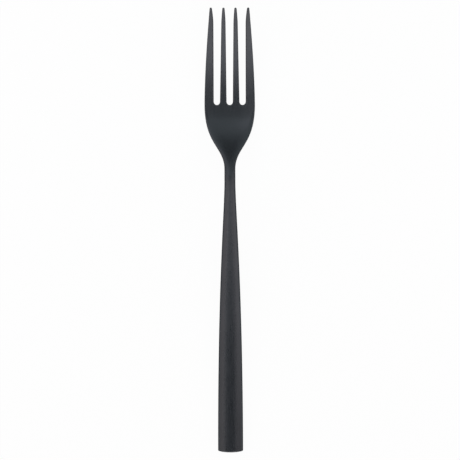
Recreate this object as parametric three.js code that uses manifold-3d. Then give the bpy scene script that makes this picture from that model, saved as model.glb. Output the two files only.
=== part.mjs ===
// Dessert fork with a hollow handle, lying on its back with the tines up.
// Millimetres: X runs across the fork, +Y towards the tine tips, +Z up.
// The origin is on the table, under the middle of the fork.
import * as THREE from "three";
import { mergeVertices } from "three/addons/utils/BufferGeometryUtils.js";
import Module from "manifold-3d";

const wasm = await Module();
wasm.setup();

// Lengths along the fork, in order from the tine tips to the butt
const TINE_LENGTH = 39.5;
const SHOULDER_LENGTH = 27.1;
const NECK_LENGTH = 13.4;
const HANDLE_LENGTH = 102;
const PLUG_RIM = 2;

// Widths seen from above
const TIP_SPAN = 16.3;
const HEAD_WIDTH = 21;
const NECK_WIDTH = 4.5;
const BUTT_WIDTH = 10.4;
const NECK_STRAIGHT = 5;

// Slots between the tines, and the taper of each tine to its tip
const SLOT_MOUTH = 3.4;
const SLOT_ROOT = 2.6;
const SLOT_END = 1.5;
const SIDE_SLOT_AT_TIP = 4.96;
const SIDE_SLOT_AT_ROOT = 5.37;
const TIP_WIDTH = 0.86;
const TIP_TAPER = 6;

// Side view: heights of the underside over the table, and thicknesses
const TIP_RISE = 12.9;
const HEEL_SETBACK = 5;
const CREST_SETBACK = 3;
const CREST_RISE = 11.5;
const REST_DEPTH = 0.25;
const TIP_THICKNESS = 1.1;
const ROOT_THICKNESS = 2;
const NECK_THICKNESS = 4.6;
const BUTT_THICKNESS = 6.4;

// Dish across the head, and the rounding of its edges
const DISH_DEPTH = 1.6;
const TIP_DISH = 0.6;
const EDGE_ROUND = 0.5;
const TIP_ROUND = 0.22;
const EDGE_SHARE = 0.8;

// Handle shells, the joints between the pieces, and the tang set in the filler
const WALL = 0.6;
const BRAZE_GAP = 0.12;
const FIT_GAP = 0.12;
const SPIGOT_LENGTH = 6;
const TANG_LENGTH = 42;
const TANG_TIP = 1.4;
const TANG_SIDE_STEP = 0.45;
const TANG_FACE_STEP = 0.75;
const TANG_GAP = 0.2;
const NOTCH_COUNT = 3;
const NOTCH_PITCH = 11;
const NOTCH_LENGTH = 2.4;
const NOTCH_DEPTH = 0.4;
const PLUG_SPIGOT = 6;
const RIM_ROUND = 0.4;

// Shape of the curves: the power of each sweep, and how far each end of an S curve stays level
const TINE_BOW = 1.6;
const TINE_SWEEP = 1.8;
const TIP_EASE = 1.5;
const SHOULDER_HOLD = [0.62, 0.345];
const FLARE_HOLD = [0.11, 0.63];
const RISE_HOLD = [0.38, 0.26];
const FALL_HOLD = [0.05, 0.56];
const SWELL_HOLD = [0.54, 0.2];
const BODY_HOLD = [0.3, 0.3];

// Fineness of the surfaces
const HEAD_ROWS = 2.4;
const HANDLE_ROWS = 5;
const ROUND_STEPS = 3;
const FLAT_STEPS = 8;
const SHELL_STEPS = 16;
const SLOT_END_STEPS = 8;

// Places along the fork, as distances from the tine tips
const NECK_AT = TINE_LENGTH + SHOULDER_LENGTH;
const FLARE_AT = NECK_AT + NECK_STRAIGHT;
const MOUTH_AT = NECK_AT + NECK_LENGTH;
const TANG_AT = MOUTH_AT + SPIGOT_LENGTH;
const RIM_AT = MOUTH_AT + HANDLE_LENGTH;
const BUTT_AT = RIM_AT + PLUG_RIM;
const HEEL_AT = TINE_LENGTH + HEEL_SETBACK;
const CREST_AT = NECK_AT + CREST_SETBACK;
const SHELL_INSET = WALL + FIT_GAP;

const { lerp, clamp } = THREE.MathUtils;

// S curve from one height to another, level at both ends; hold gives the share of each level end
function levelCurve(from, to, startValue, endValue, hold) {
  const curve = new THREE.CubicBezierCurve(
    new THREE.Vector2(0, startValue),
    new THREE.Vector2(hold[0], startValue),
    new THREE.Vector2(1 - hold[1], endValue),
    new THREE.Vector2(1, endValue),
  );
  return (at) => {
    const target = clamp((at - from) / (to - from), 0, 1);
    let near = 0;
    let far = 1;
    while (far - near > 1e-9) {
      const middle = (near + far) / 2;
      if (curve.getPoint(middle).x < target) near = middle;
      else far = middle;
    }
    return curve.getPoint(near).y;
  };
}

const shoulderHalf = levelCurve(TINE_LENGTH, NECK_AT, HEAD_WIDTH / 2, NECK_WIDTH / 2, SHOULDER_HOLD);
const handleHalf = levelCurve(FLARE_AT, BUTT_AT, NECK_WIDTH / 2, BUTT_WIDTH / 2, FLARE_HOLD);
const neckRise = levelCurve(HEEL_AT, CREST_AT, 0, CREST_RISE, RISE_HOLD);
const handleFall = levelCurve(CREST_AT, BUTT_AT, CREST_RISE, -REST_DEPTH, FALL_HOLD);
const neckSwell = levelCurve(TINE_LENGTH, FLARE_AT, ROOT_THICKNESS, NECK_THICKNESS, SWELL_HOLD);
const handleBody = levelCurve(FLARE_AT, BUTT_AT, NECK_THICKNESS, BUTT_THICKNESS, BODY_HOLD);

// Half the width of the outline seen from above
function halfWidth(at) {
  if (at >= NECK_AT) return handleHalf(at);
  if (at >= TINE_LENGTH) return shoulderHalf(at);
  const spread = (HEAD_WIDTH - TIP_SPAN) / 2;
  return HEAD_WIDTH / 2 - spread * (1 - at / TINE_LENGTH) ** TINE_BOW;
}

// Height of the underside over the table, along the middle of the fork
function underside(at) {
  if (at >= CREST_AT) return handleFall(at);
  if (at >= HEEL_AT) return neckRise(at);
  return TIP_RISE * (1 - at / HEEL_AT) ** TINE_SWEEP;
}

function thickness(at) {
  if (at >= FLARE_AT) return handleBody(at);
  if (at >= TINE_LENGTH) return neckSwell(at);
  return lerp(TIP_THICKNESS, ROOT_THICKNESS, at / TINE_LENGTH);
}

const middleHeight = (at) => underside(at) + thickness(at) / 2;

// How far the dish lifts a point beside the middle line
function dishLift(x, at) {
  if (at >= NECK_AT) return 0;
  const half = halfWidth(at);
  const neck = NECK_WIDTH / 2;
  const blade = DISH_DEPTH * (half - neck) / (HEAD_WIDTH / 2 - neck);
  const depth = at < TINE_LENGTH ? lerp(TIP_DISH, DISH_DEPTH, at / TINE_LENGTH) : blade;
  return depth * (x / half) ** 2;
}

// Point of the formed head; level runs from -1 on the back to 1 on the front
function formed(x, at, level) {
  const onHead = Math.max(at, 0);
  const z = middleHeight(onHead) + level * thickness(onHead) / 2 + dishLift(x, onHead);
  return new THREE.Vector3(x, BUTT_AT / 2 - at, z);
}

// Rounding of the edges, smaller at the tine tips
const edgeRound = (at) => lerp(TIP_ROUND, EDGE_ROUND, clamp(at / TIP_TAPER, 0, 1));

// Places along the fork through the given marks, no further apart than spacing
function rowsThrough(marks, spacing) {
  const rows = [marks[0]];
  for (let mark = 1; mark < marks.length; mark += 1) {
    const run = marks[mark] - marks[mark - 1];
    const count = Math.ceil(run / spacing);
    for (let step = 1; step <= count; step += 1) rows.push(marks[mark - 1] + (run * step) / count);
  }
  return rows;
}

const acrossFork = (point) => new THREE.Vector2(point.x, point.z);
const fromAbove = (point) => new THREE.Vector2(point.x, point.y);

// Closed surface through rings that run anticlockwise about the way they advance
function loft(rings, flatten) {
  const size = rings[0].length;
  const lastStart = size * (rings.length - 1);
  const faces = [];
  for (let start = 0; start < lastStart; start += size) {
    for (let step = 0; step < size; step += 1) {
      const next = (step + 1) % size;
      faces.push(start + step, start + next, start + size + next);
      faces.push(start + step, start + size + next, start + size + step);
    }
  }
  const firstCap = THREE.ShapeUtils.triangulateShape(rings[0].map(flatten), []);
  const lastCap = THREE.ShapeUtils.triangulateShape(rings.at(-1).map(flatten), []);
  for (const [a, b, c] of firstCap) faces.push(a, c, b);
  for (const corners of lastCap) faces.push(...corners.map((corner) => lastStart + corner));
  const geometry = new THREE.BufferGeometry().setFromPoints(rings.flat());
  geometry.setIndex(faces);
  return geometry;
}

function toSolid(geometry) {
  const bare = geometry.clone();
  bare.deleteAttribute("normal");
  bare.deleteAttribute("uv");
  const merged = mergeVertices(bare);
  return new wasm.Manifold(new wasm.Mesh({
    numProp: 3,
    vertProperties: new Float32Array(merged.attributes.position.array),
    triVerts: new Uint32Array(merged.index.array),
  }));
}

function toGeometry(solid) {
  const { vertProperties, triVerts } = solid.getMesh();
  const geometry = new THREE.BufferGeometry();
  geometry.setAttribute("position", new THREE.BufferAttribute(vertProperties, 3));
  geometry.setIndex(new THREE.BufferAttribute(triVerts, 1));
  geometry.computeVertexNormals();
  return geometry;
}

// Front half of a flat strip with rounded edges, right to left, as pairs of x and level
function stripFront(half, round) {
  const edge = [];
  for (let step = 0; step <= ROUND_STEPS; step += 1) {
    const angle = (Math.PI / 2) * (step / ROUND_STEPS);
    edge.push([half - round * (1 - Math.cos(angle)), 1 - EDGE_SHARE * (1 - Math.sin(angle))]);
  }
  const flat = [];
  for (let step = 1; step < FLAT_STEPS; step += 1) {
    flat.push([(half - round) * (1 - (2 * step) / FLAT_STEPS), 1]);
  }
  const farEdge = edge.map(([x, level]) => [-x, level]).reverse();
  return [...edge, ...flat, ...farEdge];
}

const HALF_RING = 2 * (ROUND_STEPS + 1) + FLAT_STEPS - 1;

// Front half of an oval with the same number of points
function ovalFront(half) {
  return Array.from({ length: HALF_RING }, (_, step) => {
    const angle = (Math.PI * (step + 0.5)) / HALF_RING;
    return [half * Math.cos(angle), Math.sin(angle)];
  });
}

// Cross-section of the head: a dished strip over the tines that turns into the oval of the neck
function headRing(at) {
  const half = halfWidth(at);
  const oval = THREE.MathUtils.smoothstep(at, TINE_LENGTH, NECK_AT);
  const ovalPoints = ovalFront(half);
  const front = stripFront(half, edgeRound(at)).map(([x, level], step) => [
    lerp(x, ovalPoints[step][0], oval),
    lerp(level, ovalPoints[step][1], oval),
  ]);
  const back = front.map(([x, level]) => [-x, -level]);
  return [...front, ...back].map(([x, level]) => formed(x, at, level));
}

// Oval cross-section of the handle, drawn in by an inset
function handleRing(at, inset) {
  const width = halfWidth(at) - inset;
  const height = thickness(at) / 2 - inset;
  const front = ovalFront(width);
  const back = front.map(([x, level]) => [-x, -level]);
  return [...front, ...back].map(([x, level]) => (
    new THREE.Vector3(x, BUTT_AT / 2 - at, middleHeight(at) + height * level)
  ));
}

// Tang: a flat bar that tapers from the spigot into the handle
const TANG_ROOT_HALF = halfWidth(TANG_AT) - SHELL_INSET - TANG_SIDE_STEP;
const TANG_HALF_HEIGHT = thickness(TANG_AT) / 2 - SHELL_INSET - TANG_FACE_STEP;
const tangHalf = (at) => lerp(TANG_ROOT_HALF, TANG_TIP / 2, (at - TANG_AT) / TANG_LENGTH);

function tangRing(at, grow) {
  const square = (value) => Math.sign(value) * Math.sqrt(Math.abs(value));
  const front = ovalFront(1);
  const back = front.map(([x, level]) => [-x, -level]);
  return [...front, ...back].map(([x, level]) => new THREE.Vector3(
    square(x) * (tangHalf(at) + grow),
    BUTT_AT / 2 - at,
    middleHeight(at) + square(level) * (TANG_HALF_HEIGHT + grow),
  ));
}

// Boxes that cut the keying notches into both edges of the tang, drawn in by the same growth
function tangNotches(grow) {
  const notches = [];
  for (let notch = 1; notch <= NOTCH_COUNT; notch += 1) {
    const at = TANG_AT + notch * NOTCH_PITCH;
    const size = 2 * tangHalf(at);
    for (const side of [-1, 1]) {
      const box = new THREE.BoxGeometry(size, NOTCH_LENGTH - 2 * grow, 2 * NECK_THICKNESS);
      const reach = tangHalf(at) - NOTCH_DEPTH + grow + size / 2;
      box.translate(side * reach, BUTT_AT / 2 - at, middleHeight(at));
      notches.push(toSolid(box));
    }
  }
  return notches;
}

// Places along the edges of the slots, in mm from the middle line
const slotHalf = (at) => lerp(SLOT_MOUTH, SLOT_ROOT, at / TINE_LENGTH) / 2;
const sideSlotMiddle = (at) => lerp(SIDE_SLOT_AT_TIP, SIDE_SLOT_AT_ROOT, at / TINE_LENGTH);
const INNER_TIP = SIDE_SLOT_AT_TIP / 2;

// A slot's edge, turned in over the taper so that the tine ends at its tip width
function taperedEdge(straight, tipEdge, at) {
  const onTine = Math.max(at, 0);
  const share = clamp(1 - onTine / TIP_TAPER, 0, 1) ** TIP_EASE;
  return straight(onTine) + (tipEdge - straight(0)) * share;
}

const middleSlotEdge = (at) => taperedEdge(slotHalf, INNER_TIP - TIP_WIDTH / 2, at);
const sideSlotInner = (at) => (
  taperedEdge((on) => sideSlotMiddle(on) - slotHalf(on), INNER_TIP + TIP_WIDTH / 2, at)
);
const sideSlotOuter = (at) => (
  taperedEdge((on) => sideSlotMiddle(on) + slotHalf(on), TIP_SPAN / 2 - TIP_WIDTH, at)
);
const SLOTS = [
  { left: (at) => -sideSlotOuter(at), right: (at) => -sideSlotInner(at) },
  { left: (at) => -middleSlotEdge(at), right: middleSlotEdge },
  { left: sideSlotInner, right: sideSlotOuter },
];

// Cutter for one slot: its outline repeated through the thickness, opening out where the edges are rounded
function slotCutter({ left, right }) {
  const straightEnd = TINE_LENGTH - SLOT_END;
  const rows = rowsThrough([-TIP_TAPER, 0, TIP_TAPER, straightEnd], HEAD_ROWS);
  const middle = (left(straightEnd) + right(straightEnd)) / 2;
  const endHalf = (right(straightEnd) - left(straightEnd)) / 2;

  function outline(level, opening) {
    const rightSide = rows.map((at) => formed(right(at) + opening * edgeRound(at), at, level));
    const leftSide = rows.map((at) => formed(left(at) - opening * edgeRound(at), at, level));
    const grow = opening * edgeRound(straightEnd);
    const end = [];
    for (let step = 1; step < SLOT_END_STEPS; step += 1) {
      const angle = Math.PI * (1 - step / SLOT_END_STEPS);
      const at = straightEnd + (SLOT_END + grow) * Math.sin(angle);
      end.push(formed(middle + (endHalf + grow) * Math.cos(angle), at, level));
    }
    return [...rightSide.reverse(), ...leftSide, ...end];
  }

  const upper = [];
  for (let step = 0; step <= ROUND_STEPS; step += 1) {
    const angle = (Math.PI / 2) * (step / ROUND_STEPS);
    upper.push([1 - EDGE_SHARE * (1 - Math.sin(angle)), 1 - Math.cos(angle)]);
  }
  const lower = upper.map(([level, opening]) => [-level, opening]).reverse();
  const rings = [...lower, ...upper].map(([level, opening]) => outline(level, opening));
  const flatAt = (ring, z) => ring.map((point) => new THREE.Vector3(point.x, point.y, z));
  const over = TIP_RISE + TIP_THICKNESS + DISH_DEPTH;
  return loft([flatAt(rings[0], -DISH_DEPTH), ...rings, flatAt(rings.at(-1), over)], fromAbove);
}

// Head: tines, dished bowl and neck, with the spigot and tang that go into the handle
function forkHead() {
  const headRows = rowsThrough([0, TIP_TAPER, TINE_LENGTH, HEEL_AT, NECK_AT, CREST_AT, MOUTH_AT], HEAD_ROWS);
  const spigotRows = rowsThrough([MOUTH_AT, TANG_AT], HANDLE_ROWS);
  const tangRows = rowsThrough([TANG_AT, TANG_AT + TANG_LENGTH], HANDLE_ROWS);
  const blank = toSolid(loft([
    ...headRows.map(headRing),
    ...spigotRows.map((at) => handleRing(at, SHELL_INSET)),
    ...tangRows.map((at) => tangRing(at, 0)),
  ], acrossFork));
  const cutters = [...SLOTS.map((slot) => toSolid(slotCutter(slot))), ...tangNotches(0)];
  return toGeometry(cutters.reduce((solid, cutter) => solid.subtract(cutter), blank));
}

// One pressed half of the handle; side is 1 for the front half and -1 for the back
function shellRing(at, side) {
  const arc = (inset) => Array.from({ length: SHELL_STEPS + 1 }, (_, step) => {
    const angle = (Math.PI * step) / SHELL_STEPS;
    const width = halfWidth(at) - inset;
    const height = thickness(at) / 2 - inset - BRAZE_GAP / 2;
    const z = middleHeight(at) + side * (BRAZE_GAP / 2 + height * Math.sin(angle));
    return new THREE.Vector3(side * width * Math.cos(angle), BUTT_AT / 2 - at, z);
  });
  return [...arc(0), ...arc(WALL).reverse()];
}

function handleShell(side) {
  const rows = rowsThrough([MOUTH_AT + BRAZE_GAP, RIM_AT - BRAZE_GAP], HANDLE_ROWS);
  return loft(rows.map((at) => shellRing(at, side)), acrossFork);
}

// The back is ground flat where the handle rests on the table
function groundFlat(geometry) {
  const stone = new THREE.BoxGeometry(2 * BUTT_WIDTH, BUTT_AT, BUTT_THICKNESS);
  stone.translate(0, -BUTT_AT / 2, -BUTT_THICKNESS / 2);
  return toGeometry(toSolid(geometry).subtract(toSolid(stone)));
}

// Cement that fills the handle and grips the notched tang
function handleFiller() {
  const ends = [TANG_AT + FIT_GAP, RIM_AT - PLUG_SPIGOT - FIT_GAP];
  const core = toSolid(loft(
    rowsThrough(ends, HANDLE_ROWS).map((at) => handleRing(at, SHELL_INSET)),
    acrossFork,
  ));
  const socketRows = rowsThrough([TANG_AT, TANG_AT + TANG_LENGTH + TANG_GAP], HANDLE_ROWS);
  const socket = toSolid(loft(socketRows.map((at) => tangRing(at, TANG_GAP)), acrossFork));
  const keyed = tangNotches(TANG_GAP).reduce((solid, notch) => solid.subtract(notch), socket);
  return toGeometry(core.subtract(keyed));
}

// Plug that closes the butt: a spigot inside the shells and a rim rounded over to a flat end
function buttPlug() {
  const spigot = rowsThrough([RIM_AT - PLUG_SPIGOT, RIM_AT], HANDLE_ROWS);
  const rings = spigot.map((at) => handleRing(at, SHELL_INSET));
  rings.push(handleRing(RIM_AT, 0));
  for (let step = 0; step <= 2 * ROUND_STEPS; step += 1) {
    const angle = (Math.PI / 2) * (step / (2 * ROUND_STEPS));
    const at = BUTT_AT - RIM_ROUND * (1 - Math.sin(angle));
    rings.push(handleRing(at, RIM_ROUND * (1 - Math.cos(angle))));
  }
  return groundFlat(loft(rings, acrossFork));
}

function piece(name, geometry, colour, roughness, metalness) {
  const material = new THREE.MeshStandardMaterial({ color: colour, roughness, metalness });
  const mesh = new THREE.Mesh(geometry, material);
  mesh.name = name;
  return mesh;
}

const BLACK_STEEL = 0x2b2d30;
const CEMENT_GREY = 0x8d877c;

const fork = new THREE.Group();
fork.add(
  piece("fork_head", forkHead(), BLACK_STEEL, 0.55, 0.7),
  piece("handle_front_shell", handleShell(1), BLACK_STEEL, 0.55, 0.7),
  piece("handle_back_shell", groundFlat(handleShell(-1)), BLACK_STEEL, 0.55, 0.7),
  piece("handle_filler", handleFiller(), CEMENT_GREY, 0.95, 0),
  piece("butt_plug", buttPlug(), BLACK_STEEL, 0.55, 0.7),
);

export default fork;
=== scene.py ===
# Dessert fork in matte black steel, lying on a white table and seen from straight above.
import math

import bpy
import numpy as np
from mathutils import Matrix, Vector, geometry


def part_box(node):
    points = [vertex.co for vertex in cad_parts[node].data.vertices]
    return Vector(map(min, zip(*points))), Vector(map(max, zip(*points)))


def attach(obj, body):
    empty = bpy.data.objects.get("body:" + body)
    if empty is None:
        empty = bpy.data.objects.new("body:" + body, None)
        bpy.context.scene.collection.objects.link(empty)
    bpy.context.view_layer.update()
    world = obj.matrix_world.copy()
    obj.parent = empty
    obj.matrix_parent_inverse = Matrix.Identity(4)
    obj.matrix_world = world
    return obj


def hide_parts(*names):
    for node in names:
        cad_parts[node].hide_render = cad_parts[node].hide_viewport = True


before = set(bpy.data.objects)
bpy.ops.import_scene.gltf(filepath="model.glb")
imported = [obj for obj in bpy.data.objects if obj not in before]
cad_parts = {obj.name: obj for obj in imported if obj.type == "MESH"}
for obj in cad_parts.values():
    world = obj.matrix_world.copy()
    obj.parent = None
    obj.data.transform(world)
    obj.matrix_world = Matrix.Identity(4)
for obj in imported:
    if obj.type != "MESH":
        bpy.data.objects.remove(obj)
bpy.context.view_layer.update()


# Fork head: one stainless steel forging, with four tines, a shallow bowl and a slim neck.
# It is stamped, ground and satin-finished, then coated matte black all over.
# Behind the neck a spigot and a notched tang go into the hollow handle and are cemented there.
mm = 0.001
head_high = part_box("fork_head")[1]
shell_low, shell_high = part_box("handle_front_shell")
plug_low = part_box("butt_plug")[0]

# Places along the fork, as distances from the tine tips
tip_y = head_high.y
tine_length = 39.5 * mm
heel_setback = 5 * mm
shoulder_length = 27.1 * mm
crest_setback = 3 * mm
flare_setback = 5 * mm
heel_at = tine_length + heel_setback
neck_at = tine_length + shoulder_length
crest_at = neck_at + crest_setback
flare_at = neck_at + flare_setback
mouth_at = tip_y - shell_high.y
rim_at = tip_y - shell_low.y
butt_at = tip_y - plug_low.y

# Outline seen from above, as half widths; a hold is the share of a curve that stays level at each end
head_half = head_high.x
tip_half = 8.15 * mm
neck_half = 2.25 * mm
butt_half = 5.2 * mm
tine_bow = 1.6
shoulder_hold = (0.62, 0.345)
flare_hold = (0.11, 0.63)

# Side view: the underside over the table, the thickness, and the dish across the head
tip_rise = 12.9 * mm
crest_rise = 11.5 * mm
rest_depth = 0.25 * mm
tip_thickness = 1.1 * mm
root_thickness = 2 * mm
neck_thickness = 4.6 * mm
butt_thickness = 6.4 * mm
tine_sweep = 1.8
rise_hold = (0.38, 0.26)
fall_hold = (0.05, 0.56)
swell_hold = (0.54, 0.2)
body_hold = (0.3, 0.3)
dish_depth = 1.6 * mm
tip_dish = 0.6 * mm

# Slots between the tines, and the tine tips
slot_mouth = 3.4 * mm
slot_root = 2.6 * mm
slot_end = 1.5 * mm
side_slot_at_tip = 4.96 * mm
side_slot_at_root = 5.37 * mm
tip_width = 0.86 * mm
tip_taper = 6 * mm
tip_ease = 1.5
tip_nose = 0.45 * mm

# Rounded edges; a share of 1 is a full round from back to front
edge_round = 0.5 * mm
tip_round = 0.22 * mm
edge_share = 0.8
neck_share = 0.995
neck_round = 0.99

# Joint with the handle
hairline = 0.03 * mm
shell_wall = 0.6 * mm
fit_gap = 0.12 * mm
spigot_length = 6 * mm
tang_length = 42 * mm
tang_tip_half = 0.7 * mm
tang_side_step = 0.45 * mm
tang_face_step = 0.75 * mm
tang_round = 0.3 * mm
notch_count = 3
notch_pitch = 11 * mm
notch_length = 2.4 * mm
notch_depth = 0.4 * mm

# Mesh: where the net of the head goes over into the rings of the neck, and how fine both are
joint_at = 62 * mm
curve_steps = 4000
edge_spacing = 0.35 * mm
net_spacing = 0.4 * mm
neck_spacing = 0.5 * mm
nose_steps = 16
slot_end_steps = 28
round_steps = 7
flat_count = 3
spigot_rows = 8
sharp_angle = math.radians(40)


def mix(low, high, share):
    return low + (high - low) * share


def level_rise(share, hold):
    """Rise from 0 to 1 that is level at both ends."""
    u = np.linspace(0, 1, curve_steps + 1)
    run = 3 * (1 - u) ** 2 * u * hold[0] + 3 * (1 - u) * u ** 2 * (1 - hold[1]) + u ** 3
    return np.interp(share, run, u ** 2 * (3 - 2 * u))


def level_curve(at, start, end, low, high, hold):
    return mix(low, high, level_rise((at - start) / (end - start), hold))


def half_width(at):
    narrowing = (head_half - tip_half) * np.clip(1 - at / tine_length, 0, 1) ** tine_bow
    shoulder = level_curve(at, tine_length, neck_at, head_half, neck_half, shoulder_hold)
    flare = level_curve(at, flare_at, butt_at, neck_half, butt_half, flare_hold)
    return np.select([at < tine_length, at < neck_at], [head_half - narrowing, shoulder], flare)


def underside(at):
    tines = tip_rise * np.clip(1 - at / heel_at, 0, 1) ** tine_sweep
    rise = level_curve(at, heel_at, crest_at, 0, crest_rise, rise_hold)
    fall = level_curve(at, crest_at, butt_at, crest_rise, -rest_depth, fall_hold)
    return np.select([at < heel_at, at < crest_at], [tines, rise], fall)


def thickness(at):
    tines = mix(tip_thickness, root_thickness, at / tine_length)
    swell = level_curve(at, tine_length, flare_at, root_thickness, neck_thickness, swell_hold)
    body = level_curve(at, flare_at, butt_at, neck_thickness, butt_thickness, body_hold)
    return np.select([at < tine_length, at < flare_at], [tines, swell], body)


def dish_lift(x, at):
    half = half_width(at)
    tines = mix(tip_dish, dish_depth, at / tine_length)
    bowl = dish_depth * (half - neck_half) / (head_half - neck_half)
    depth = np.select([at < tine_length, at < neck_at], [tines, bowl], 0)
    return depth * (x / half) ** 2


def formed(x, at, level, height=None):
    """Points of the fork at a level from -1, the back, to 1, the front; height is half the thickness."""
    x, at, level = np.broadcast_arrays(x, at, level)
    half = thickness(at) / 2
    z = underside(at) + half + level * (half if height is None else height) + dish_lift(x, at)
    return np.stack([x, tip_y - at, z], axis=-1)


def oval_share(at):
    """How far the flat section of the head has turned into the oval of the neck."""
    share = np.clip((at - tine_length) / (neck_at - tine_length), 0, 1)
    return share ** 2 * (3 - 2 * share)


def rounding(at):
    tines = mix(tip_round, edge_round, np.clip(at / tip_taper, 0, 1))
    return mix(tines, neck_round * half_width(at), oval_share(at))


def rounded_share(at):
    return mix(edge_share, neck_share, oval_share(at))


def tapered_edge(straight, tip_edge, at):
    """A slot's edge, turned in over the taper so that the tine ends at its tip width."""
    return straight(at) + (tip_edge - straight(0)) * np.clip(1 - at / tip_taper, 0, 1) ** tip_ease


def slot_half(at):
    return mix(slot_mouth, slot_root, at / tine_length) / 2


def side_slot_middle(at):
    return mix(side_slot_at_tip, side_slot_at_root, at / tine_length)


inner_tip = side_slot_at_tip / 2


def middle_edge(at):
    return tapered_edge(slot_half, inner_tip - tip_width / 2, at)


def side_inner(at):
    return tapered_edge(lambda on: side_slot_middle(on) - slot_half(on), inner_tip + tip_width / 2, at)


def side_outer(at):
    return tapered_edge(lambda on: side_slot_middle(on) + slot_half(on), tip_half - tip_width, at)


# Each tine's right and left edge, from the right-hand tine to the left-hand one
tine_edges = [
    (half_width, side_outer),
    (side_inner, middle_edge),
    (lambda at: -middle_edge(at), lambda at: -side_inner(at)),
    (lambda at: -side_outer(at), lambda at: -half_width(at)),
]


def along(start, end):
    return np.linspace(start, end, math.ceil(abs(end - start) / edge_spacing), endpoint=False)


def stretch(x, at, inward_x, inward_at):
    """Part of the outline: places, the way into the metal, and how far the edge is rounded there."""
    return np.stack(np.broadcast_arrays(x, at, inward_x, inward_at, rounding(at)), axis=-1)


def round_end(from_x, to_x, start, reach, steps):
    """Half an ellipse between two edges: the nose of a tine, or, with a reach above 0, a slot's end."""
    angle = np.linspace(0, math.pi, steps, endpoint=False)
    x = (from_x + to_x) / 2 + (from_x - to_x) / 2 * np.cos(angle)
    return stretch(x, start + reach * np.sin(angle), np.sign(reach) * np.cos(angle), np.sin(angle))


# The outline runs anticlockwise from the right of the neck, round every tine and slot, to the left
straight_end = tine_length - slot_end
last_tine = len(tine_edges) - 1
outline = []
for number, (right, left) in enumerate(tine_edges):
    to_nose = along(joint_at if number == 0 else straight_end, tip_nose)
    outline.append(stretch(right(to_nose), to_nose, -1, 0))
    outline.append(round_end(right(tip_nose), left(tip_nose), tip_nose, -tip_nose, nose_steps))
    from_nose = along(tip_nose, joint_at if number == last_tine else straight_end)
    outline.append(stretch(left(from_nose), from_nose, 1, 0))
    if number < last_tine:
        slot_sides = left(straight_end), tine_edges[number + 1][0](straight_end)
        outline.append(round_end(*slot_sides, straight_end, slot_end, slot_end_steps))
outline.append(stretch(-half_width(joint_at), np.array([joint_at]), 1, 0))
outline = np.concatenate(outline)

# Profile of the rounded edge, from the back over the side to the front
quarter = np.linspace(0, math.pi / 2, round_steps + 1)
turn = np.concatenate([-quarter[::-1], quarter])
opening = 1 - np.cos(turn)
side = np.repeat([-1, 1], round_steps + 1)


def edge_levels(share):
    return mix(side, np.sin(turn), share)


edge_x, edge_at, inward_x, inward_at, edge_rounding = outline.T[:, :, None]
inset = edge_rounding * opening
profile_x = edge_x + inward_x * inset
profile_at = edge_at + inward_at * inset
profile_levels = edge_levels(rounded_share(edge_at))
head_points = [formed(profile_x, profile_at, profile_levels).reshape(-1, 3)]
edge_rows = np.arange(profile_x.size).reshape(profile_x.shape)
head_faces = []
for row, next_row in zip(edge_rows.tolist(), edge_rows[1:].tolist()):
    for n in range(len(turn) - 1):
        head_faces.append((row[n], next_row[n], next_row[n + 1], row[n + 1]))

# Front and back of the head inside the rounded edges: a fine net of triangles, seen from above
flat = np.linspace(-1, 1, flat_count + 2)[1:-1]
flat_half = half_width(joint_at) - rounding(joint_at)
border = np.stack([
    np.concatenate([profile_x[:, -1], flat * flat_half]),
    np.concatenate([-profile_at[:, -1], np.full(flat_count, -joint_at)]),
], axis=-1)
grid_x, grid_y = np.meshgrid(
    np.arange(-head_half, head_half, net_spacing),
    np.arange(-joint_at, 0, net_spacing * math.sqrt(3) / 2),
)
grid_x = grid_x + net_spacing / 2 * (np.arange(len(grid_x)) % 2)[:, None]
grid = np.stack([grid_x.ravel(), grid_y.ravel()], axis=-1)


def within(points, loop):
    """Which points a closed loop goes round: those with an odd number of crossings on their right."""
    x, y = points[:, :1], points[:, 1:]
    start, end = loop, np.roll(loop, -1, axis=0)
    crosses = (start[:, 1] > y) != (end[:, 1] > y)
    rise = np.where(end[:, 1] == start[:, 1], 1, end[:, 1] - start[:, 1])
    cut_x = start[:, 0] + (y - start[:, 1]) * (end[:, 0] - start[:, 0]) / rise
    return (crosses & (x < cut_x)).sum(axis=1) % 2 == 1


border_clear = 0.55 * net_spacing
inside_only = 1
same_point = 1e-9
to_border = np.linalg.norm(grid[:, None] - border, axis=-1).min(axis=1)
net = np.concatenate([border, grid[within(grid, border) & (to_border > border_clear)]])
border_ring = list(range(len(border)))
net_corners = [Vector(point) for point in net]
found = geometry.delaunay_2d_cdt(net_corners, [], [border_ring], inside_only, same_point)
found_faces, found_from = found[2:4]

edge_count = len(outline)
inner_x, inner_at = net[edge_count:, 0], -net[edge_count:, 1]
front_start = edge_rows.size
back_start = front_start + len(inner_x)
neck_start = back_start + len(inner_x)
front_net = edge_rows[:, -1].tolist() + list(range(front_start, back_start))
back_net = edge_rows[:, 0].tolist() + list(range(back_start, neck_start))
head_points += [formed(inner_x, inner_at, level) for level in (1, -1)]
for face in found_faces:
    triangle = [found_from[corner][0] for corner in face]
    head_faces.append([front_net[n] for n in triangle])
    head_faces.append([back_net[n] for n in triangle[::-1]])


# Neck, spigot and tang: rings that go on from the end of the bowl
def section(at, half, height, edge, share):
    """Ring of points round the fork, from the right side over the front."""
    levels = edge_levels(share)
    right_x = half - edge * opening
    flat_x = (half - edge) * flat
    x = np.concatenate([right_x, flat_x[::-1], -right_x[::-1], flat_x])
    level = np.concatenate([levels, np.ones(flat_count), levels[::-1], -np.ones(flat_count)])
    return formed(x, np.full(len(x), at), level, height)


def oval(at, inset=0):
    half = half_width(at) - inset
    edge = rounding(at) * half / half_width(at)
    return section(at, half, thickness(at) / 2 - inset, edge, rounded_share(at))


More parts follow.
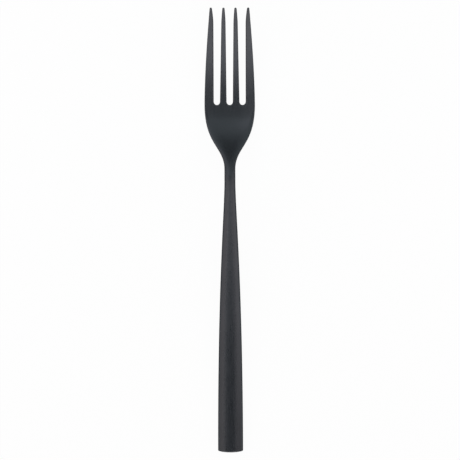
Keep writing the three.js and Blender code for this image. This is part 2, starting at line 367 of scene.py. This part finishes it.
def ring_faces(rings):
    """Four-sided faces between neighbouring rings of corners."""
    faces = []
    for ring, next_ring in zip(rings, rings[1:]):
        for n in range(len(ring)):
            faces.append((ring[n - 1], ring[n], next_ring[n], next_ring[n - 1]))
    return faces


neck_end = mouth_at - hairline
tang_at = neck_end + spigot_length
shell_inset = shell_wall + fit_gap
neck_rows = np.linspace(joint_at, neck_end, math.ceil((neck_end - joint_at) / neck_spacing))
neck_points = [oval(at) for at in neck_rows[1:]]
neck_points += [oval(at, shell_inset) for at in np.linspace(neck_end, tang_at, spigot_rows)]

tang_root_half = half_width(tang_at) - shell_inset - tang_side_step
tang_height = thickness(tang_at) / 2 - shell_inset - tang_face_step
tang_rows = [(tang_at, 0)]
for number in range(1, notch_count + 1):
    notch_from = tang_at + number * notch_pitch - notch_length / 2
    notch_to = tang_at + number * notch_pitch + notch_length / 2
    tang_rows += [(notch_from, 0), (notch_from, notch_depth), (notch_to, notch_depth), (notch_to, 0)]
tang_rows.append((tang_at + tang_length, 0))
for at, cut in tang_rows:
    tang_half = mix(tang_root_half, tang_tip_half, (at - tang_at) / tang_length)
    neck_points.append(section(at, tang_half - cut, tang_height, tang_round, edge_share))

joint_ring = edge_rows[0].tolist() + list(range(front_start, front_start + flat_count))[::-1]
joint_ring += edge_rows[-1].tolist()[::-1] + list(range(back_start, back_start + flat_count))
neck_rings = neck_start + np.arange(len(neck_points) * len(joint_ring)).reshape(len(neck_points), -1)
head_faces += ring_faces([joint_ring, *neck_rings.tolist()])
head_faces.append(neck_rings[-1].tolist())
head_points += neck_points


def smooth(mesh):
    mesh.shade_smooth()
    mesh.set_sharp_from_angle(angle=sharp_angle)


def solid_piece(name, points, faces):
    mesh = bpy.data.meshes.new(name)
    mesh.from_pydata(np.concatenate(points).tolist(), [], faces)
    mesh.validate()
    smooth(mesh)
    piece = bpy.data.objects.new(name, mesh)
    bpy.context.collection.objects.link(piece)
    return piece


forged_head = solid_piece("forged_head", head_points, head_faces)

# Coating: a thin, dry black film that lets the lengthwise satin grain of the steel show through.
# The bend of the neck is ground by hand and stays a little rougher than the rest.
coat_colour = (0.0620, 0.0655, 0.0718, 1)
worn_colour = (0.0750, 0.0790, 0.0865, 1)
most_wear = 0.4
edge_tint = (0.2, 0.2, 0.2, 1)
head_roughness = 0.36
grip_roughness = 0.3
grip_from = 55 * mm
grip_to = 100 * mm
neck_roughness = 0.12
neck_reach = 9 * mm
roughness_step = 0.04
grain_scale = (2600, 90, 2600)
grain_detail = 3
grain_bump = 0.009 * mm
mottle_scale = 90
mottle_detail = 4
speckle_scale = 5200
speckle_detail = 2
speckle_bump = 0.01 * mm
noise_low = 0.3
noise_high = 0.7
matte_black = bpy.data.materials.new("matte_black_coat")
matte_black.use_nodes = True
tree = matte_black.node_tree


def set_inputs(node, inputs):
    """Each input is a plain value or another node's output."""
    for name, value in inputs.items():
        if isinstance(value, bpy.types.NodeSocket):
            tree.links.new(value, node.inputs[name])
        else:
            node.inputs[name].default_value = value


def new_node(kind, inputs=None, **settings):
    """Node in the tree that is being built."""
    node = tree.nodes.new(kind)
    for name, setting in settings.items():
        setattr(node, name, setting)
    set_inputs(node, inputs or {})
    return node


def reckon(operation, *values):
    return new_node("ShaderNodeMath", dict(enumerate(values)), operation=operation).outputs["Value"]


def noise(vector, scale, detail):
    inputs = {"Vector": vector, "Scale": scale, "Detail": detail}
    return new_node("ShaderNodeTexNoise", inputs).outputs["Fac"]


def change(value, start, end, low, high, kind="SMOOTHSTEP"):
    """Goes from low to high while the value goes from start to end."""
    inputs = {"Value": value, "From Min": start, "From Max": end, "To Min": low, "To Max": high}
    return new_node("ShaderNodeMapRange", inputs, interpolation_type=kind).outputs["Result"]


def spread(noise_value, low, high):
    """Stretches the middle of a noise over the range from low to high."""
    return change(noise_value, noise_low, noise_high, low, high, "LINEAR")


def blend(colour, other_colour, share):
    inputs = {"A": colour, "B": other_colour, "Factor": share}
    return new_node("ShaderNodeMix", inputs, data_type="RGBA").outputs["Result"]


def bump(height, depth, **under):
    """Bumps of a given depth; a Normal is the surface that they lie on."""
    return new_node("ShaderNodeBump", {"Height": height, "Distance": depth} | under).outputs["Normal"]


coat_place = new_node("ShaderNodeTexCoord").outputs["Object"]
drawn_out = new_node("ShaderNodeMapping", {"Vector": coat_place, "Scale": grain_scale}).outputs["Vector"]
grain = noise(drawn_out, 1, grain_detail)
mottle = noise(coat_place, mottle_scale, mottle_detail)
speckle = noise(coat_place, speckle_scale, speckle_detail)
coat_y = new_node("ShaderNodeSeparateXYZ", {"Vector": coat_place}).outputs["Y"]
handled = change(coat_y, tip_y - grip_from, tip_y - grip_to, head_roughness, grip_roughness)
from_crest = reckon("ABSOLUTE", reckon("SUBTRACT", coat_y, tip_y - crest_at))
hand_ground = change(from_crest, 0, neck_reach, neck_roughness, 0)
uneven = spread(grain, -roughness_step, roughness_step)
set_inputs(tree.nodes["Principled BSDF"], {
    "Metallic": 1,
    "Specular Tint": edge_tint,
    "Base Color": blend(coat_colour, worn_colour, spread(mottle, 0, most_wear)),
    "Roughness": reckon("ADD", reckon("ADD", handled, hand_ground), uneven),
    "Normal": bump(speckle, speckle_bump, Normal=bump(grain, grain_bump)),
})
forged_head.data.materials.append(matte_black)
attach(forged_head, "root")
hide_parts("fork_head")


# Handle: two half shells pressed from thin steel sheet, one above and one below.
# They are brazed along their edges and to the neck, ground flush and coated with the head.
# The lower half has a small flat near the butt, where the fork rests.
shell_sizes = {
    "Tip Place": tip_y,
    "Crest At": crest_at,
    "Flare At": flare_at,
    "Mouth At": mouth_at,
    "Rim At": rim_at,
    "Butt At": butt_at,
    "Neck Half Width": neck_half,
    "Butt Half Width": butt_half,
    "Neck Thickness": neck_thickness,
    "Butt Thickness": butt_thickness,
    "Crest Rise": crest_rise,
    "Rest Depth": rest_depth,
    "Wall": shell_wall,
    "Seam": hairline / 2,
    "Side": 1,
}
shell_counts = {"Rows": 160, "Arc Points": 41}
curve_points = 65
weld_distance = 0.001 * mm
tree = bpy.data.node_groups.new("handle_half", "GeometryNodeTree")
tree.interface.new_socket("Geometry", in_out="OUTPUT", socket_type="NodeSocketGeometry")
shell_inputs = {}
for name in shell_sizes:
    shell_inputs[name] = tree.interface.new_socket(name, socket_type="NodeSocketFloat")
for name in shell_counts:
    shell_inputs[name] = tree.interface.new_socket(name, socket_type="NodeSocketInt")
given = new_node("NodeGroupInput").outputs


def between(low, high, share):
    return reckon("MULTIPLY_ADD", reckon("SUBTRACT", high, low), share, low)


def curve_between(low, high, start, end, at, hold):
    """The level curve as a Float Curve node, from low to high between two places."""
    run = reckon("DIVIDE", reckon("SUBTRACT", at, start), reckon("SUBTRACT", end, start))
    curve = new_node("ShaderNodeFloatCurve", {"Value": run})
    for share in np.linspace(0, 1, curve_points)[1:-1]:
        curve.mapping.curves[0].points.new(share, level_rise(share, hold))
    curve.mapping.update()
    return between(low, high, curve.outputs["Value"])


# A sheet of rows along the handle, each going out along the outer arc and back along the inner one
around = reckon("MULTIPLY_ADD", given["Arc Points"], 2, 1)
sheet_size = {"Vertices X": reckon("ADD", given["Rows"], 2), "Vertices Y": around}
sheet = new_node("GeometryNodeMeshGrid", sheet_size).outputs["Mesh"]
index = new_node("GeometryNodeInputIndex").outputs["Index"]
sheet_row = reckon("SUBTRACT", reckon("FLOOR", reckon("DIVIDE", index, around)), 1)
step = reckon("MODULO", reckon("MODULO", index, around), reckon("SUBTRACT", around, 1))
last_row = reckon("SUBTRACT", given["Rows"], 1)
kept_row = reckon("MINIMUM", reckon("MAXIMUM", sheet_row, 0), last_row)
shell_at = between(given["Mouth At"], given["Rim At"], reckon("DIVIDE", kept_row, last_row))

# The first and last rows run along the middle of the wall, and so close the ends
is_end = reckon("ABSOLUTE", reckon("SUBTRACT", sheet_row, kept_row))
is_inner = reckon("GREATER_THAN", step, reckon("SUBTRACT", given["Arc Points"], 0.5))
depth = reckon("MULTIPLY", given["Wall"], between(is_inner, 0.5, is_end))
steps_left = reckon("SUBTRACT", reckon("SUBTRACT", around, 2), step)
arc_steps = reckon("SUBTRACT", given["Arc Points"], 1)
arc_share = reckon("DIVIDE", reckon("MINIMUM", step, steps_left), arc_steps)
arc_angle = reckon("MULTIPLY", arc_share, math.pi)

flare_run = (given["Flare At"], given["Butt At"], shell_at)
fall_run = (given["Crest At"], given["Butt At"], shell_at)
lowest = reckon("MULTIPLY", given["Rest Depth"], -1)
shell_half = curve_between(given["Neck Half Width"], given["Butt Half Width"], *flare_run, flare_hold)
shell_thick = curve_between(given["Neck Thickness"], given["Butt Thickness"], *flare_run, body_hold)
shell_under = curve_between(given["Crest Rise"], lowest, *fall_run, fall_hold)
half_height = reckon("MULTIPLY", shell_thick, 0.5)
arc_height = reckon("SUBTRACT", reckon("SUBTRACT", half_height, depth), given["Seam"])
off_seam = reckon("MULTIPLY_ADD", arc_height, reckon("SINE", arc_angle), given["Seam"])
seam_height = reckon("ADD", shell_under, half_height)
shell_point = new_node("ShaderNodeCombineXYZ", {
    "X": reckon("MULTIPLY", reckon("SUBTRACT", shell_half, depth), reckon("COSINE", arc_angle)),
    "Y": reckon("SUBTRACT", given["Tip Place"], shell_at),
    "Z": reckon("MAXIMUM", reckon("MULTIPLY_ADD", off_seam, given["Side"], seam_height), 0),
}).outputs["Vector"]

shell = new_node("GeometryNodeSetPosition", {"Geometry": sheet, "Position": shell_point}).outputs[0]
shell = new_node("GeometryNodeMergeByDistance", {"Geometry": shell, "Distance": weld_distance}).outputs[0]
is_front = reckon("GREATER_THAN", given["Side"], 0)
shell = new_node("GeometryNodeFlipFaces", {"Mesh": shell, "Selection": is_front}).outputs[0]
shell = new_node("GeometryNodeRealizeInstances", {"Geometry": shell}).outputs[0]
shell = new_node("GeometryNodeSetMaterial", {"Geometry": shell, "Material": matte_black}).outputs[0]
new_node("NodeGroupOutput", {"Geometry": shell})

for name, node, side_sign in (
    ("front_shell", "handle_front_shell", 1),
    ("back_shell", "handle_back_shell", -1),
):
    handle_half = bpy.data.objects.new(name, bpy.data.meshes.new(name))
    bpy.context.collection.objects.link(handle_half)
    maker = handle_half.modifiers.new("handle half", "NODES")
    maker.node_group = tree
    for size, value in (shell_sizes | shell_counts | {"Side": side_sign}).items():
        maker[shell_inputs[size].identifier] = value
    evaluated = handle_half.evaluated_get(bpy.context.evaluated_depsgraph_get())
    shell_mesh = bpy.data.meshes.new_from_object(evaluated)
    handle_half.modifiers.remove(maker)
    handle_half.data = shell_mesh
    smooth(shell_mesh)
    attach(handle_half, "root")
    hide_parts(node)


# Cement: a pale grout poured into the hollow handle, where it sets hard round the notched tang.
# The plug closes it in, so none of it shows.
grout_colour = (0.36, 0.34, 0.31, 1)
sand_colour = (0.55, 0.52, 0.47, 1)
grout_roughness = 0.9
sand_scale = 1400
sand_detail = 5
sand_bump = 0.05 * mm
grout = bpy.data.materials.new("handle_grout")
grout.use_nodes = True
tree = grout.node_tree
sand = noise(new_node("ShaderNodeTexCoord").outputs["Object"], sand_scale, sand_detail)
set_inputs(tree.nodes["Principled BSDF"], {
    "Roughness": grout_roughness,
    "Base Color": blend(grout_colour, sand_colour, spread(sand, 0, 1)),
    "Normal": bump(sand, sand_bump),
})
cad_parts["handle_filler"].material_slots[0].material = grout


# Butt plug: a solid steel end piece with a spigot that is brazed into the mouth of the shells.
# Its rim is ground flush with them and has a fine round edge.
# Its end is slightly crowned from side to side.
plug_spigot = 6 * mm
rim_round = 0.4 * mm
rim_steps = 8
butt_crown = 0.45 * mm
plug_sides = 128
plug_turn = np.linspace(0, 2 * math.pi, plug_sides, endpoint=False)


def plug_ring(at, inset, crown):
    half, height = half_width(at), thickness(at) / 2
    x = (half - inset) * np.cos(plug_turn)
    y = tip_y - at + crown * (x / half) ** 2
    z = underside(at) + height + (height - inset) * np.sin(plug_turn)
    return np.stack([x, y, np.maximum(z, 0)], axis=-1)


rim_start = rim_at + hairline
plug_points = [
    plug_ring(rim_start - plug_spigot, shell_inset, 0),
    plug_ring(rim_start, shell_inset, 0),
    plug_ring(rim_start, 0, 0),
    plug_ring(butt_at - rim_round - hairline, 0, butt_crown),
]
for angle in np.linspace(0, math.pi / 2, rim_steps + 1):
    rim_edge = butt_at - rim_round * (1 - math.sin(angle))
    plug_points.append(plug_ring(rim_edge, rim_round * (1 - math.cos(angle)), butt_crown))
plug_rings = np.arange(len(plug_points) * plug_sides).reshape(-1, plug_sides).tolist()
plug_faces = [plug_rings[0][::-1], *ring_faces(plug_rings)]

# The crowned end is filled with strips between its upper and lower edge; the outermost are triangles
end_ring = plug_rings[-1]
for n in range(plug_sides // 2):
    strip = [end_ring[n], end_ring[n + 1], end_ring[-n - 1], end_ring[-n]]
    plug_faces.append(list(dict.fromkeys(strip)))
end_plug = solid_piece("end_plug", plug_points, plug_faces)
end_plug.data.materials.append(matte_black)
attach(end_plug, "root")
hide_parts("butt_plug")


# Table: a plain white table top just under the fork, with its soft shadow.
# Most of what the camera and the steel see of it is an even white.
table_half = 12
table_drop = 0.02 * mm
table_colour = (0.9, 0.9, 0.9, 1)
even_white = 0.95
table_mesh = bpy.data.meshes.new("table_top")
table_sides = ((-1, -1), (1, -1), (1, 1), (-1, 1))
table_corners = [(x * table_half, y * table_half, -table_drop) for x, y in table_sides]
table_mesh.from_pydata(table_corners, [], [(0, 1, 2, 3)])
table_top = bpy.data.objects.new("table_top", table_mesh)
bpy.context.collection.objects.link(table_top)
white = bpy.data.materials.new("white_table")
white.use_nodes = True
tree = white.node_tree
tree.nodes.remove(tree.nodes["Principled BSDF"])
rays = new_node("ShaderNodeLightPath").outputs
seen = reckon("MAXIMUM", rays["Is Camera Ray"], rays["Is Glossy Ray"])
seen = reckon("MAXIMUM", seen, rays["Is Transmission Ray"])
lit = new_node("ShaderNodeBsdfDiffuse", {"Color": table_colour}).outputs["BSDF"]
glow = new_node("ShaderNodeEmission").outputs["Emission"]
both = new_node("ShaderNodeMixShader", {0: reckon("MULTIPLY", seen, even_white), 1: lit, 2: glow})
set_inputs(tree.nodes["Material Output"], {"Surface": both.outputs["Shader"]})
table_mesh.materials.append(white)


# Studio: a wide soft panel past the butt, lower ones on the left and right and a dim one past the tips,
# with a small reflector on each side of the neck, in a dim room that is dark straight overhead.
# Every panel faces the middle of the fork; a level is its brightness, whatever its size.
room_colour = (0.04, 0.062, 0.08, 1)
world = bpy.data.worlds.new("studio")
world.use_nodes = True
world.node_tree.nodes["Background"].inputs["Color"].default_value = room_colour
bpy.context.scene.world = world


def softbox(name, place, size, level, tint):
    lamp = bpy.data.lights.new(name, "AREA")
    lamp.shape = "RECTANGLE"
    lamp.size, lamp.size_y = size
    lamp.energy = level * math.pi * size[0] * size[1]
    lamp.color = tint
    holder = bpy.data.objects.new(name, lamp)
    holder.location = place
    holder.rotation_euler = (-Vector(place)).to_track_quat("-Z", "Y").to_euler()
    bpy.context.collection.objects.link(holder)


softbox("near_panel", place=(-0.03, -0.6, 1.01), size=(1.7, 0.54), level=1.5, tint=(1, 0.985, 0.99))
softbox("left_panel", place=(-0.3, -0.355, 0.213), size=(1.44, 0.62), level=0.845, tint=(1, 0.9, 0.85))
softbox("right_panel", place=(0.39, -0.435, 0.265), size=(1.31, 0.97), level=0.54, tint=(1, 0.9, 0.88))
softbox("far_panel", place=(-0.006, 0.195, 0.23), size=(0.91, 0.38), level=0.645, tint=(0.93, 1, 1))
softbox("left_reflector", place=(-0.177, 0.09, 0.099), size=(0.35, 0.28), level=0.4, tint=(1, 0.93, 1))
softbox("right_reflector", place=(0.192, 0.015, 0.054), size=(0.2, 0.28), level=0.64, tint=(1, 0.97, 0.96))


# Camera: straight above, as in the photograph, with the fork from edge to edge of the picture.
# It is a hair off the middle and turned a hair, as the fork lies in the picture.
camera_height = 1.0
camera_x = -0.02 * mm
camera_y = 0.38 * mm
camera_turn = math.radians(-0.15)
view_width = 192.15 * mm
camera = bpy.data.cameras.new("camera")
camera.sensor_fit = "HORIZONTAL"
camera.lens = camera.sensor_width * camera_height / view_width
camera_holder = bpy.data.objects.new("camera", camera)
camera_holder.location = (camera_x, camera_y, camera_height)
camera_holder.rotation_euler = (0, 0, camera_turn)
bpy.context.collection.objects.link(camera_holder)
bpy.context.scene.camera = camera_holder
bpy.context.scene.view_settings.view_transform = "Standard"
